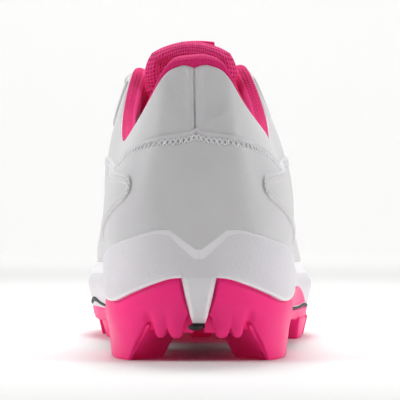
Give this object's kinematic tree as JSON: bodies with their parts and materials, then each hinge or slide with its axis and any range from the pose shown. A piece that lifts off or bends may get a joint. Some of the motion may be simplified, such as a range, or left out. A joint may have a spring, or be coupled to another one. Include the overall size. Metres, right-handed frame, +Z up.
{
  "type": "softball cleat",
  "caption": "Low laced softball cleat with a hollow leather upper, padded collar, cupped midsole, stiff plate and rubber outsole with moulded studs.",
  "frame": {"origin": "on the floor under the middle of the shoe's box", "axes": "+Y from heel to toe, +X to the outer side of the right foot, +Z up"},
  "size_m": [0.1, 0.2768, 0.1245],
  "materials": {
    "white_leather": "smooth synthetic leather, satin",
    "white_foam": "moulded foam cup, satin",
    "pink_rubber": "moulded rubber, satin",
    "black_plate": "moulded plastic, satin",
    "pink_cloth": "knitted mesh",
    "white_cord": "flat woven lace"
  },
  "bodies": {
    "root": {"upper": "white_leather", "heel_counter": "white_leather", "eyestay": "white_leather", "side_panel_outer": "white_leather", "side_panel_inner": "white_leather", "collar_lining": "pink_cloth", "midsole": "white_foam", "plate": "black_plate", "heel_rubber_outer": "pink_rubber", "heel_rubber_inner": "pink_rubber", "forefoot_rubber": "pink_rubber", "insole": "pink_cloth", "tongue": "pink_cloth", "tongue_label": "pink_cloth", "lace": "white_cord"}
  },
  "joints": []
}
